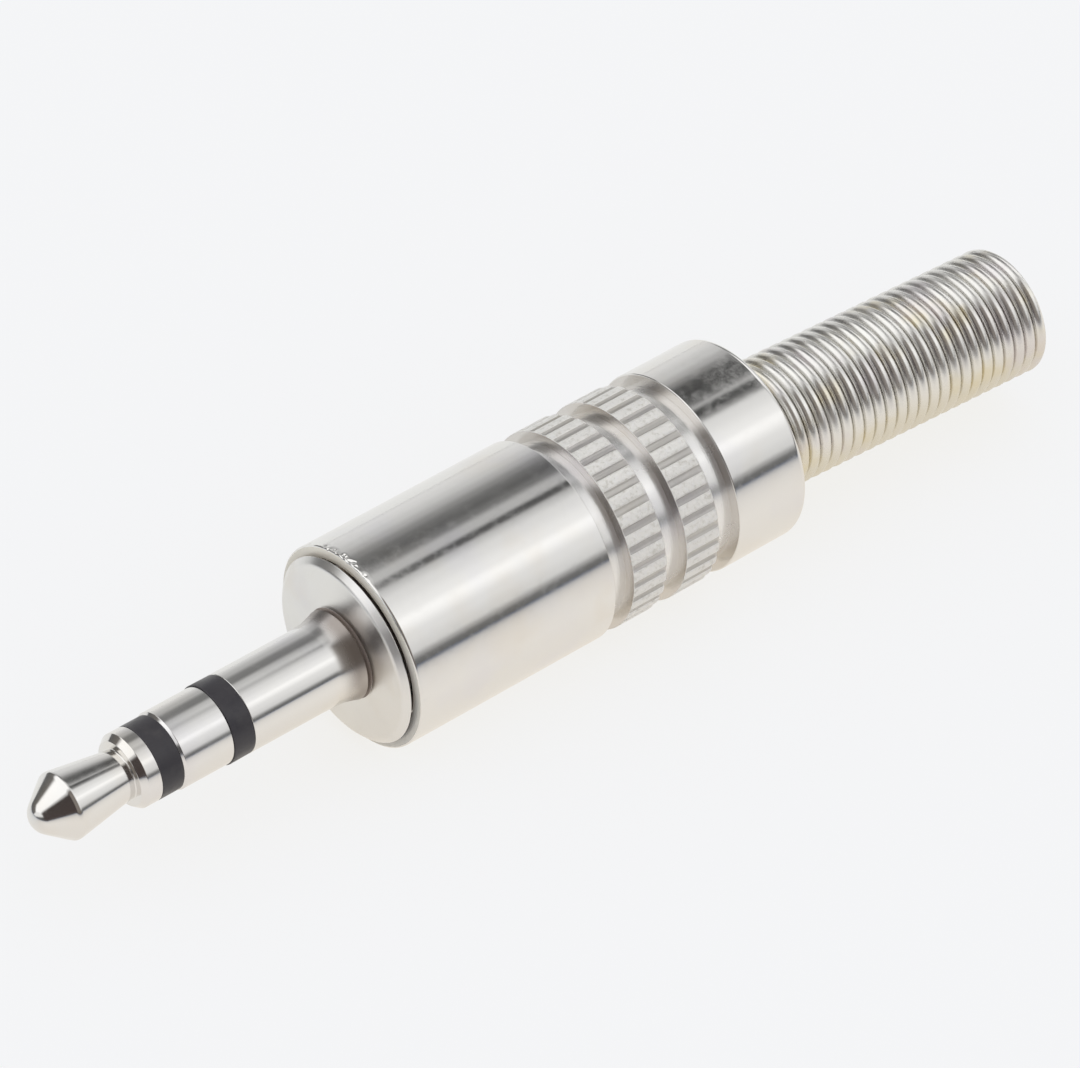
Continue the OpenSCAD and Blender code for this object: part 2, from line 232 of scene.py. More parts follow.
def addRamp(tree, share, stops, curve="LINEAR"):
    # stops are (position from 0 to 1, colour)
    ramp = addNode(tree, "ShaderNodeValToRGB", {0: share})
    ramp.color_ramp.interpolation = curve
    elements = ramp.color_ramp.elements
    while len(elements) < len(stops):
        elements.new(0.5)
    for element, (position, colour) in zip(elements, stops):
        element.position = position
        element.color = colour
    return ramp.outputs[0]


def startTree(owner):
    owner.use_nodes = True
    owner.node_tree.nodes.clear()
    return owner.node_tree


def effectGroup(name, inputs, outputs):
    # an empty shader node group with its sockets; inputs are (name, kind, value)
    tree = bpy.data.node_groups.new(name, "ShaderNodeTree")
    for title, kind, value in inputs:
        socket = tree.interface.new_socket(title, in_out="INPUT", socket_type=kind)
        if value is not None:
            socket.default_value = value
    for title, kind in outputs:
        tree.interface.new_socket(title, in_out="OUTPUT", socket_type=kind)
    return tree, tree.nodes.new("NodeGroupInput").outputs, tree.nodes.new("NodeGroupOutput").inputs


def addNoise(tree, vector, scale, **values):
    return addNode(tree, "ShaderNodeTexNoise", {"Vector": vector, "Scale": scale, **values}).outputs["Fac"]


def makeTurningLines():
    # rings left by the lathe tool: noise that hardly changes round the axis
    tree, given, result = effectGroup(
        "turningLines",
        [("Vector", "NodeSocketVector", None), ("Lines", "NodeSocketFloat", 12.0),
         ("Wander", "NodeSocketFloat", 0.04)],
        [("Height", "NodeSocketFloat")])
    squeeze = (1, 0.04, 0.04)
    place = calculateVector(tree, "MULTIPLY", scaleVector(tree, given["Vector"], 1 / mm), squeeze)
    noise = addNoise(tree, place, given["Lines"], Detail=3.0, Roughness=0.6, Distortion=given["Wander"])
    tree.links.new(noise, result["Height"])
    return tree


def makeSmudges():
    # handling marks: soft patches with finer streaks in them
    tree, given, result = effectGroup(
        "smudges",
        [("Vector", "NodeSocketVector", None), ("Scale", "NodeSocketFloat", 0.8),
         ("From", "NodeSocketFloat", 0.0), ("To", "NodeSocketFloat", 1.0)],
        [("Value", "NodeSocketFloat")])
    patchEdge = (0.42, 0.72)
    place = scaleVector(tree, given["Vector"], 1 / mm)
    patch = addNoise(tree, place, given["Scale"], Detail=5.0, Roughness=0.62, Distortion=0.2)
    value = mapRange(tree, patch, *patchEdge, given["From"], given["To"], smooth=True)
    tree.links.new(value, result["Value"])
    return tree


def makeFineGrain():
    # sandy skin of cut and plated metal, or of moulded plastic
    tree, given, result = effectGroup(
        "fineGrain",
        [("Vector", "NodeSocketVector", None), ("Scale", "NodeSocketFloat", 14.0)],
        [("Height", "NodeSocketFloat")])
    place = scaleVector(tree, given["Vector"], 1 / mm)
    tree.links.new(addNoise(tree, place, given["Scale"], Detail=4.0, Roughness=0.7), result["Height"])
    return tree


def makeTintedPlate():
    # plating whose colour drifts between its own and two tarnish tints
    tree, given, result = effectGroup(
        "tintedPlate",
        [("Vector", "NodeSocketVector", None), ("Plate", "NodeSocketColor", (0.8, 0.8, 0.8, 1)),
         ("Warm", "NodeSocketColor", (0.7, 0.6, 0.4, 1)), ("Cool", "NodeSocketColor", (0.6, 0.6, 0.7, 1)),
         ("Scale", "NodeSocketFloat", 0.5), ("Amount", "NodeSocketFloat", 0.5)],
        [("Color", "NodeSocketColor")])
    patchEdge = (0.5, 0.72)
    apart = (17.0, 5.0, 11.0)  # keeps the two tints' patches from falling together
    place = scaleVector(tree, given["Vector"], 1 / mm)
    colour = given["Plate"]
    for vector, tint in ((place, "Warm"), (calculateVector(tree, "ADD", place, apart), "Cool")):
        noise = addNoise(tree, vector, given["Scale"], Detail=3.0, Roughness=0.55)
        patch = mapRange(tree, noise, *patchEdge, 0.0, given["Amount"], smooth=True)
        colour = mixColours(tree, patch, colour, given[tint])
    tree.links.new(colour, result["Color"])
    return tree


turningLines = makeTurningLines()
smudges = makeSmudges()
fineGrain = makeFineGrain()
tintedPlate = makeTintedPlate()


def addEffect(tree, group, place, **values):
    return addNode(tree, "ShaderNodeGroup", {"Vector": place, **values}, node_tree=group)


def addBump(tree, surface, heights):
    # heights are (socket, depth in millimetres), one bump feeding the next
    below = {}
    for height, depth in heights:
        inputs = {"Height": height, "Strength": 1.0, "Distance": depth * mm, **below}
        normal = addNode(tree, "ShaderNodeBump", inputs).outputs[0]
        below = {"Normal": normal}
    tree.links.new(normal, surface.inputs["Normal"])


def addDarkening(tree, place, look, tint, marks):
    # the plate turns to a darker colour and roughness along one axis: painted shade on the sleeve's root, a
    # darker, yellower lower side on the spring
    start, end = look["agedFrom"]
    parts = addNode(tree, "ShaderNodeSeparateXYZ", {0: place}).outputs
    share = mapRange(tree, parts[look["agedAxis"]], start * mm, end * mm, smooth=True)
    tree.links.new(mixColours(tree, share, look["plate"], look["aged"]), tint.inputs["Plate"])
    for limit, fresh, worn in zip(("From", "To"), look["roughness"], look["agedRoughness"]):
        tree.links.new(mapRange(tree, share, 0.0, 1.0, fresh, worn), marks.inputs[limit])


def makeFinish(name, look):
    material = bpy.data.materials.new(name)
    tree = startTree(material)
    place = tree.nodes.new("ShaderNodeTexCoord").outputs["Object"]
    tint = addEffect(tree, tintedPlate, place, Plate=look["plate"], Warm=look["warm"], Cool=look["cool"],
                     Scale=look["tintScale"], Amount=look["tintAmount"])
    smoothest, roughest = look["roughness"]
    marks = addEffect(tree, smudges, place, Scale=look["smudgeScale"], From=smoothest, To=roughest)
    if "aged" in look:
        addDarkening(tree, place, look, tint, marks)
    surface = addNode(tree, "ShaderNodeBsdfPrincipled", {
        "Base Color": tint.outputs["Color"], "Roughness": marks.outputs["Value"],
        "Metallic": look["metallic"]})
    heights = []
    if "lines" in look:
        lines = addEffect(tree, turningLines, place, Lines=look["lines"])
        heights.append((lines.outputs["Height"], look["lineDepth"]))
    grain = addEffect(tree, fineGrain, place, Scale=look["grainScale"])
    heights.append((grain.outputs["Height"], look["grainDepth"]))
    addBump(tree, surface, heights)
    addNode(tree, "ShaderNodeOutputMaterial", {"Surface": surface.outputs[0]})
    return material


nickelLook = {
    "plate": (0.80, 0.79, 0.77, 1), "warm": (0.78, 0.74, 0.68, 1), "cool": (0.76, 0.75, 0.77, 1),
    "tintScale": 0.35, "tintAmount": 0.6, "smudgeScale": 0.9, "roughness": (0.1, 0.17), "metallic": 1.0,
    "lines": 9.0, "lineDepth": 0.0004, "grainScale": 9.0, "grainDepth": 0.0004,
}
plasticLook = {
    "plate": (0.034, 0.031, 0.037, 1), "warm": (0.05, 0.046, 0.049, 1), "cool": (0.022, 0.02, 0.028, 1),
    "tintScale": 1.5, "tintAmount": 0.8, "smudgeScale": 2.0, "roughness": (0.34, 0.5), "metallic": 0.0,
    "grainScale": 16.0, "grainDepth": 0.004,
}


def metal(name, **changes):
    return makeFinish(name, {**nickelLook, **changes})


def plastic(name, **changes):
    return makeFinish(name, {**plasticLook, **changes})


contactNickel = metal("contactNickel")
shellNickel = metal("shellNickel", lines=6.0, smudgeScale=3.0)
knurlNickel = metal(
    "knurlNickel", plate=(0.97, 0.955, 0.92, 1), warm=(0.78, 0.76, 0.71, 1), cool=(0.98, 0.97, 0.95, 1),
    tintScale=7.0, tintAmount=1.0, metallic=0.62, roughness=(0.32, 0.45), grainScale=11.0, grainDepth=0.06)
# darker plate for the slots between the knurl's pads: painted shade
shadedSlotNickel = metal(
    "shadedSlotNickel", plate=(0.62, 0.6, 0.57, 1), warm=(0.56, 0.52, 0.46, 1), cool=(0.5, 0.48, 0.49, 1),
    metallic=0.9, roughness=(0.3, 0.42), grainDepth=0.02)
grooveNickel = metal("grooveNickel", roughness=(0.18, 0.28), lines=25.0, lineDepth=0.004)
# lighter plate for the groove floors: painted light
litFloorNickel = metal(
    "litFloorNickel", plate=(0.9, 0.89, 0.87, 1), metallic=0.8, roughness=(0.2, 0.3),
    lines=25.0, lineDepth=0.003)
# darker plate for the front walls of the bands and the collar: painted shade
shadedWallNickel = metal(
    "shadedWallNickel", plate=(0.69, 0.665, 0.64, 1), warm=(0.64, 0.6, 0.55, 1), cool=(0.62, 0.595, 0.595, 1),
    roughness=(0.16, 0.26))
shadedNickel = metal(
    "shadedNickel", plate=(0.3, 0.25, 0.22, 1), warm=(0.26, 0.2, 0.16, 1), cool=(0.22, 0.19, 0.2, 1),
    metallic=0.5, roughness=(0.4, 0.55))
faceNickel = metal("faceNickel", roughness=(0.28, 0.38))
# the root cone turns darker towards the flange: painted shade in the corner against the flange face
shadedRootNickel = metal(
    "shadedRootNickel", aged=(0.36, 0.325, 0.3, 1), agedRoughness=(0.3, 0.4), agedAxis="X", agedFrom=(-1.0, -0.3))
endNickel = metal(
    "endNickel", plate=(0.98, 0.93, 0.82, 1), warm=(0.93, 0.87, 0.72, 1), cool=(0.93, 0.87, 0.8, 1),
    metallic=0.15, roughness=(0.38, 0.46))
tinnedBrass = metal("tinnedBrass", plate=(0.74, 0.74, 0.72, 1), roughness=(0.24, 0.36), grainDepth=0.002)
# the wire turns darker and yellower towards the bottom
springWire = metal(
    "springWire", plate=(0.81, 0.8, 0.77, 1), warm=(0.74, 0.66, 0.46, 1), cool=(0.70, 0.66, 0.68, 1),
    tintScale=0.55, roughness=(0.24, 0.35), lineDepth=0.0, grainDepth=0.0012,
    aged=(0.73, 0.695, 0.6, 1), agedRoughness=(0.24, 0.35), agedAxis="Z", agedFrom=(0.6, -0.8))
blackInsulator = plastic("blackInsulator")
fibreBoard = plastic(
    "fibreBoard", plate=(0.42, 0.24, 0.13, 1), warm=(0.5, 0.31, 0.17, 1), cool=(0.33, 0.18, 0.1, 1),
    tintScale=4.0, roughness=(0.6, 0.75), grainDepth=0.01)
clearFilm = plastic(
    "clearFilm", plate=(0.86, 0.87, 0.85, 1), warm=(0.84, 0.83, 0.78, 1), cool=(0.85, 0.87, 0.88, 1),
    roughness=(0.22, 0.34), grainDepth=0.002)
print("materials made:", len(bpy.data.materials))


# Tip contact: round-ended nose, waist, shoulder and collar, with the rod and its riveted end

tipShape = {
    "noseBall": 0.62, "noseAngle": 37, "noseRadius": 1.06, "noseRim": 0.24,
    "waistRadius": 0.76, "waistFillet": 0.04,
    "shoulderStep": 0.25, "shoulderLength": 0.2, "shoulderFillet": 0.03,
    "collarLength": 0.43, "collarFillet": 0.04, "collarEdge": 0.012, "inside": 0.01,
    "rodRadius": 0.35, "headRadius": 0.51, "headHeight": 0.14, "headFillet": 0.12,
}


def makeTip():
    s = tipShape
    slope = math.radians(s["noseAngle"])
    flat = s["noseBall"] * math.tan((math.pi / 2 - slope) / 2)
    collarFront = tipRear - s["collarLength"]
    waistX = collarFront - s["shoulderLength"]
    shoulder = s["waistRadius"] + s["shoulderStep"]
    headFront = tipRivet - s["headHeight"]
    # the cone and the taper behind it meet in a corner that the round rim cuts off
    rimHeight = s["noseRadius"] - s["noseRim"]
    sizeChange = s["noseRim"] - s["noseBall"]
    rise = rimHeight + sizeChange * math.cos(slope)
    rimX = tipEnd + s["noseBall"] + sizeChange * math.sin(slope) + rise / math.tan(slope)
    taper = math.atan2(s["noseRadius"] - s["waistRadius"], waistX - rimX)
    reach = s["noseRim"] * math.tan((slope + taper) / 2)
    cornerX = rimX - s["noseRim"] * math.sin(slope) + reach * math.cos(slope)
    cornerRadius = rimHeight + s["noseRim"] * math.cos(slope) + reach * math.sin(slope)
    inside = s["inside"]
    outline = roundedOutline([
        (tipEnd, 0, 0), (tipEnd, flat, s["noseBall"]), (cornerX, cornerRadius, s["noseRim"]),
        (waistX, s["waistRadius"], s["waistFillet"]), (waistX, shoulder, s["shoulderFillet"]),
        (collarFront, collarRadius, s["collarFillet"]), (tipRear, collarRadius, s["collarEdge"]),
        (tipRear, s["rodRadius"], inside), (headFront, s["rodRadius"], inside),
        (headFront, s["headRadius"], inside), (tipRivet, s["headRadius"], s["headFillet"]),
        (tipRivet, 0, 0)], closed=False)
    mesh = turnedMesh("tipContact", outline, closed=False)
    addPiece("tipContact", mesh, "plug_core", [contactNickel], "tip_contact")


makeTip()


# Ring contact and the two black bands, each with the tube that runs back through the plug

stackShape = {
    "fitGap": 0.015, "insulationWall": 0.15, "ringTubeWall": 0.18, "rivetOverhang": 0.16,
    "rivetHeight": 0.14, "bandTaper": 0.01, "ringBevel": 0.08, "edge": 0.02, "inside": 0.008,
}


def makeStack():
    s = stackShape
    tipTubeIn = tipShape["rodRadius"] + s["fitGap"]
    tipTubeOut = tipTubeIn + s["insulationWall"]
    ringTubeIn = tipTubeOut + s["fitGap"]
    ringTubeOut = ringTubeIn + s["ringTubeWall"]
    sleeveTubeIn = ringTubeOut + s["fitGap"]
    sleeveTubeOut = sleeveTubeIn + s["insulationWall"]
    edge, inside = s["edge"], s["inside"]

    def band(name, front, rear, frontRadius, rearRadius, tubeIn, tubeOut, tubeEnd, node):
        outline = roundedOutline([
            (front, tubeIn, inside), (front, frontRadius, edge), (rear, rearRadius, edge),
            (rear, tubeOut, inside), (tubeEnd, tubeOut, inside), (tubeEnd, tubeIn, inside)])
        addPiece(name, turnedMesh(name, outline), "plug_core", [blackInsulator], node)

    band("tipInsulator", tipRear, ringFront, collarRadius, collarRadius, tipTubeIn, tipTubeOut, tipTubeEnd,
         "tip_insulator")
    band("ringInsulator", ringRear, sleeveFront, plugRadius, plugRadius - s["bandTaper"], sleeveTubeIn,
         sleeveTubeOut, sleeveTubeEnd, "ring_insulator")
    rivetFront = ringRivet - s["rivetHeight"]
    outline = roundedOutline([
        (ringFront, ringTubeIn, inside), (ringFront, ringRadius - s["ringBevel"], inside),
        (ringFront + s["ringBevel"], ringRadius, edge), (ringRear, ringRadius, edge),
        (ringRear, ringTubeOut, inside), (rivetFront, ringTubeOut, inside),
        (rivetFront, ringTubeOut + s["rivetOverhang"], inside), (ringRivet, ringTubeOut, inside),
        (ringRivet, ringTubeIn, inside)])
    mesh = turnedMesh("ringContact", outline)
    addPiece("ringContact", mesh, "plug_core", [contactNickel], "ring_contact")
    return sleeveTubeOut + s["fitGap"]


sleeveBore = makeStack()


# Sleeve: barrel, root cone, flange with its bevel, threaded boss and riveted spigot

sleeveShape = {
    "segments": 192, "rootLength": 0.48, "rootRise": 0.17, "rootFillet": 2.2, "coneEdge": 0.015,
    "rootGroove": 0.13, "rootGrooveDepth": 0.12, "grooveFillet": 0.012, "rootClearance": 0.02,
    "faceFillet": 0.2, "flangeBevel": 0.2, "bevelEdge": 0.012, "flangeRim": 0.02, "rimEdge": 0.006,
    "reliefWidth": 0.25, "threadBevel": 0.12, "bossRadius": 2.444, "bossLength": 3.0, "spigotWall": 0.25,
    "lugThickness": 0.25, "rivetOverhang": 0.16, "edge": 0.02, "inside": 0.01,
}


def makeSleeve():
    s = sleeveShape
    rootRadius = plugRadius + s["rootRise"]
    grooveFloor = rootRadius - s["rootGrooveDepth"]
    coneEnd = -s["rootGroove"]
    relief = s["bossRadius"] - s["threadBevel"]
    flangeRear = s["flangeBevel"] + s["flangeRim"]
    reliefEnd = flangeRear + s["reliefWidth"]
    bossEnd = flangeRear + s["bossLength"]
    spigot = sleeveBore + s["spigotWall"]
    lugRear = bossEnd + s["lugThickness"]
    edge, inside = s["edge"], s["inside"]
    # root takes the root's nickel with its painted shade towards the flange
    bright, shade, satin, root = range(4)
    outline = roundedOutline([
        (sleeveFront, sleeveBore, inside, bright), (sleeveFront, plugRadius, edge, bright),
        (coneEnd - s["rootLength"], plugRadius, s["rootFillet"], root),
        (coneEnd, rootRadius, s["coneEdge"], root), (coneEnd / 2, grooveFloor, s["grooveFillet"], shade),
        (0, rootRadius + s["rootClearance"], edge, satin),
        (0, flangeRadius - s["flangeBevel"], s["faceFillet"], satin),
        (s["flangeBevel"], flangeRadius, s["bevelEdge"], bright),
        (flangeRear, flangeRadius, s["rimEdge"], shade), (flangeRear, relief, inside, shade),
        (reliefEnd, relief, inside, bright),
        (reliefEnd + s["threadBevel"], s["bossRadius"], inside, bright),
        (bossEnd - s["threadBevel"], s["bossRadius"], inside, bright), (bossEnd, relief, inside, bright),
        (bossEnd, spigot, inside, bright), (lugRear, spigot, inside, bright),
        (lugRear, spigot + s["rivetOverhang"], inside, bright), (sleeveRivet, spigot, inside, bright),
        (sleeveRivet, sleeveBore, inside, bright)])
    mesh = turnedMesh("sleeveContact", outline, segments=s["segments"])
    addPiece("sleeveContact", mesh, "plug_core",
             [contactNickel, shadedNickel, faceNickel, shadedRootNickel], "sleeve_contact")


makeSleeve()
print("plug contacts turned")


# Screw thread on the boss and in the shell

threadShape = {
    "pitch": 0.5, "stepsPerTurn": 96, "fadeTurns": 0.4, "thinEnd": 0.05, "sunk": 0.02,
    "boss": {"span": (0.57, 3.07), "root": 2.444, "crest": 2.73, "foot": 0.40, "top": 0.07},
    "shell": {"span": (0.87, 3.17), "root": 2.77, "crest": 2.5, "foot": 0.38, "top": 0.09},
    "between": 0.5,  # turns by which the shell's ridge lies off the boss's
}


def threadRidge(name, body, material, ridge, phase):
    s = threadShape
    front, rear = ridge["span"]
    root, rise = ridge["root"], ridge["crest"] - ridge["root"]
    foot, top = ridge["foot"] / 2, ridge["top"] / 2
    turns = (rear - front) / s["pitch"]
    steps = math.ceil(turns * s["stepsPerTurn"])
    outward = math.copysign(1, rise)
    low = root - outward * s["sunk"]
    vertices, faces = [], []
    for i in range(steps + 1):
        turn = turns * i / steps
        angle = 2 * math.pi * (turn + phase)
        fade = min(1.0, turn / s["fadeTurns"], (turns - turn) / s["fadeTurns"])
        high = root + rise * (s["thinEnd"] + (1 - s["thinEnd"]) * fade)
        middle = front + s["pitch"] * turn
        for dx, r in ((-foot, low), (-top, high), (top, high), (foot, low)):
            vertices.append((middle + dx, r * math.cos(angle), r * math.sin(angle)))
        if i:
            a, b = 4 * (i - 1), 4 * i
            faces += [(a + j, b + j, b + (j + 1) % 4, a + (j + 1) % 4) for j in range(4)]
    faces += [(0, 1, 2, 3), tuple(4 * steps + j for j in (3, 2, 1, 0))]
    if outward > 0:
        faces = [face[::-1] for face in faces]
    mesh = meshFrom(name, np.array(vertices), faces)
    mesh.polygons.foreach_set("use_smooth", [False] * len(mesh.polygons))
    addPiece(name, mesh, body, [material])


def makeThreads():
    s = threadShape
    apart = (s["shell"]["span"][0] - s["boss"]["span"][0]) / s["pitch"]
    threadRidge("bossThread", "plug_core", contactNickel, s["boss"], 0.0)
    threadRidge("shellThread", "shell_unit", grooveNickel, s["shell"], s["between"] + apart)


makeThreads()


# Shell: smooth land, two knurled bands between grooves, rear collar and the lip round the spring

shellShape = {
    "segments": 528, "frontEdge": 0.05, "land": 7.16, "landEdge": 0.03,
    "grooveWidth": 0.7, "grooveDepth": 0.39, "grooveEdge": 0.012,
    "bands": 2, "bandWidth": 1.305, "bandSetback": 0.02, "bandRim": 0.03, "bandEdge": 0.012, "bandStep": 0.04,
    "ribs": 33, "slotWidth": 0.17, "slotDepth": 0.1, "slotSpread": 0.015, "padCorner": 0.12, "padEdge": 0.14,
    "collarEdge": 0.04, "rearEdge": 0.2, "lipLength": 2.9, "lipHole": 2.141, "lipEdge": 0.06,
    "bore": 2.48, "threadBore": 2.77, "threadBoreEnd": 3.35, "mouth": 2.81, "mouthDepth": 0.4, "inside": 0.02,
}
shellMarks = {
    "seed": 7, "burrs": 18, "burrFrom": 66, "burrTo": 106, "burrReach": 0.16, "burrSize": (0.035, 0.075),
    "burrDepth": (0.012, 0.04), "nicks": [(176, 0.12, 0.1, 0.03), (52, 0.1, 0.07, 0.03)],
    "zone": 0.45, "zoneStep": 0.03,
}


def makeDents():
    # small knocks on the front edge: angle, distance behind the front, size and depth
    m = shellMarks
    rng = random.Random(m["seed"])
    dents = list(m["nicks"])
    for _ in range(m["burrs"]):
        dents.append((rng.uniform(m["burrFrom"], m["burrTo"]), rng.uniform(0, m["burrReach"]),
                      rng.uniform(*m["burrSize"]), rng.uniform(*m["burrDepth"])))
    return dents


def makeShell():
    s = shellShape
    landEnd = shellFront + s["land"]
    groove = shellRadius - s["grooveDepth"]
    padTop = shellRadius - s["bandSetback"]
    slotFloor = padTop - s["slotDepth"]
    bands = [landEnd + s["grooveWidth"] * (i + 1) + s["bandWidth"] * i for i in range(s["bands"])]
    collarStart = bands[-1] + s["bandWidth"] + s["grooveWidth"]
    lipFront = shellRear - s["lipLength"]
    mouthEnd = shellFront + s["mouthDepth"]
    zoneEnd = shellFront + shellMarks["zone"]
    pitch = 2 * math.pi / s["ribs"]
    halfPad = (pitch * padTop - s["slotWidth"]) / 2
    inside, grooveEdge, bandEdge = s["inside"], s["grooveEdge"], s["bandEdge"]
    # floor is the groove floors' lighter plate (painted light); wall and slot are darker plates (painted
    # shade)
    smooth, knurl, dull, shade, shadedSlot, end, floor, shadedWall = range(8)
    corners = [(shellFront, s["mouth"], inside, end), (shellFront, shellRadius, s["frontEdge"], smooth),
               (landEnd, shellRadius, s["landEdge"], dull), (landEnd, groove, grooveEdge, floor)]
    for front in bands:
        rear = front + s["bandWidth"]
        corners += [(front, groove, grooveEdge, shadedWall), (front, slotFloor, bandEdge, knurl),
                    (rear, slotFloor, bandEdge, dull), (rear, groove, grooveEdge, floor)]
    corners += [(collarStart, groove, grooveEdge, shadedWall), (collarStart, shellRadius, s["collarEdge"], smooth),
                (shellRear, shellRadius, s["rearEdge"], smooth),
                (shellRear, s["lipHole"], s["lipEdge"], dull),
                (lipFront, s["lipHole"], inside, dull), (lipFront, s["bore"], inside, dull),
                (s["threadBoreEnd"], s["bore"], inside, dull),
                (s["threadBoreEnd"], s["threadBore"], inside, dull),
                (mouthEnd, s["threadBore"], inside, shade), (mouthEnd, s["mouth"], inside, shade)]
    outline = roundedOutline(corners)
    outline = splitRun(outline, shellFront + s["frontEdge"], zoneEnd, shellMarks["zoneStep"])
    for front in bands:
        outline = splitRun(outline, front + bandEdge, front + s["bandWidth"] - bandEdge, s["bandStep"])
    dents = makeDents()

    def acrossRib(angles):
        return np.abs(((angles / pitch + 0.5) % 1 - 0.5) * pitch * padTop)

    def padLift(x, angles):
        # pads run to a thin rim at the front of the band and have round corners at the rear
        front = next(front for front in bands if front <= x <= front + s["bandWidth"])
        rear = front + s["bandWidth"]
        if x < front + s["bandRim"]:
            return s["slotDepth"] + 0 * angles
        corner = s["padCorner"]
        beyondX = x - (rear - corner)
        beyondY = acrossRib(angles) - (halfPad - corner)
        outside = np.hypot(np.maximum(beyondX, 0), np.maximum(beyondY, 0))
        distance = corner - outside - np.minimum(np.maximum(beyondX, beyondY), 0)
        share = np.clip(distance / s["padEdge"], 0, 1)
        return s["slotDepth"] * np.sqrt(1 - (1 - share) ** 2)

    def frontLift(x, radius, angles):
        change = 0 * angles
        for angle, behind, size, depth in dents:
            gap = (np.degrees(angles) - angle + 180) % 360 - 180
            away = np.hypot(np.radians(gap) * radius, x - shellFront - behind) / size
            change -= depth * np.exp(-away ** 2)
        return change

    def lift(x, radius, finish, angles):
        if finish == knurl and bands[0] <= x <= bands[-1] + s["bandWidth"]:
            return padLift(x, angles)
        if x < zoneEnd - tiny and radius > shellRadius - s["frontEdge"] - tiny:
            return frontLift(x, radius, angles)
        return None

    def finishAt(x, finish, angles):
        faceMiddles = angles + math.pi / s["segments"]
        inSlot = acrossRib(faceMiddles) > halfPad - s["slotSpread"]
        onRim = any(front <= x < front + s["bandRim"] for front in bands)
        # slot faces take the darker slot plate, painted shade between the pads
        return np.where((finish == knurl) & inSlot & (not onRim), shadedSlot, finish)

    mesh = turnedMesh("shell", outline, segments=s["segments"], lift=lift, finishAt=finishAt)
    finishes = [shellNickel, knurlNickel, grooveNickel, shadedNickel, shadedSlotNickel, endNickel, litFloorNickel,
                shadedWallNickel]
    addPiece("knurledShell", mesh, "shell_unit", finishes, "shell")


makeShell()
print("shell turned and knurled")


# Spring: close-wound wire with a wide first turn behind the shell's lip

springShape = {
    "wire": 0.41, "gap": 0.01, "start": 10.996, "reach": 10.6, "wireStart": 135, "endRound": 0.06,
    "coilRadius": 1.835, "flareRadius": 2.133, "flareTurns": 1.0, "flareFade": 0.6,
    "lean": 2.4, "leanSide": 220, "stepsPerTurn": 64, "sides": 16,
}


def makeSpring():
    s = springShape
    wire = s["wire"] / 2
    pitch = s["wire"] + s["gap"]
    turns = (shellRear + s["reach"] - s["start"] - s["wire"]) / pitch
    leanX = shellRear - shellShape["lipLength"] / 2
    rings = math.ceil(turns * s["stepsPerTurn"])
    turn = turns * np.arange(rings + 1) / rings
    fade = np.clip((turn - s["flareTurns"]) / s["flareFade"], 0, 1)
    radius = s["flareRadius"] + (s["coilRadius"] - s["flareRadius"]) * fade * fade * (3 - 2 * fade)
    angle = math.radians(s["wireStart"]) + 2 * math.pi * turn
    around = 2 * math.pi * np.arange(s["sides"]) / s["sides"]

    def section(i, size, ahead):
        spread = radius[i] + size * np.cos(around)
        x = wire + pitch * turn[i] + size * np.sin(around)
        along = np.array([0, -math.sin(angle[i]), math.cos(angle[i])]) * ahead
        return np.stack([x, spread * math.cos(angle[i]), spread * math.sin(angle[i])], 1) + along

    soft = s["endRound"]
    sections = [section(0, wire - soft, -soft)]
    sections += [section(i, wire, 0) for i in range(rings + 1)]
    sections += [section(rings, wire - soft, soft)]
    vertices = np.concatenate(sections)
    side = math.radians(s["leanSide"])
    lean = Matrix.Rotation(math.radians(s["lean"]), 3, Vector((0, -math.sin(side), math.cos(side))))
    vertices = (vertices + np.array([s["start"] - leanX, 0, 0])) @ np.array(lean).T + np.array([leanX, 0, 0])
    n = s["sides"]
    last = (len(sections) - 1) * n
    faces = []
    for a in range(0, last, n):
        b = a + n
        faces += [(a + j, a + (j + 1) % n, b + (j + 1) % n, b + j) for j in range(n)]
    faces += [tuple(range(n - 1, -1, -1)), tuple(last + j for j in range(n))]
    mesh = meshFrom("reliefSpring", vertices, faces)
    addPiece("reliefSpring", mesh, "shell_unit", [springWire], "strain_relief_spring")


makeSpring()
print("spring wound")


# Pieces inside the shell keep their own solids

insideFinish = {
    "sleeve_lug": tinnedBrass, "ring_lug": tinnedBrass, "tip_lug": tinnedBrass,
    "ring_lug_washer": fibreBoard, "tip_lug_washer": fibreBoard, "insulating_tube": clearFilm,
}
for name, material in insideFinish.items():
    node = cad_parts[name]
    node.data.materials.clear()
    node.data.materials.append(material)
print("inside pieces finished")


# Camera, floor and studio

cameraShape = {
    "target": (7.35, 0, 0.386), "azimuth": -39.48, "elevation": 41.58, "distance": 185.7, "lens": 213.5,
    "clip": (10, 10000),
}


def makeCamera():
    s = cameraShape
    azimuth, elevation = math.radians(s["azimuth"]), math.radians(s["elevation"])
    back = Vector((math.sin(azimuth) * math.cos(elevation), -math.cos(azimuth) * math.cos(elevation),
                   math.sin(elevation)))
    camera = bpy.data.objects.new("camera", bpy.data.cameras.new("camera"))
    scene.collection.objects.link(camera)
    camera.data.lens = s["lens"]
    camera.data.clip_start = s["clip"][0] * mm
    camera.data.clip_end = s["clip"][1] * mm
    camera.location = Vector(s["target"]) * mm + back * s["distance"] * mm
    camera.rotation_mode = "QUATERNION"
    camera.rotation_quaternion = (-back).to_track_quat("-Z", "Y")
    scene.camera = camera


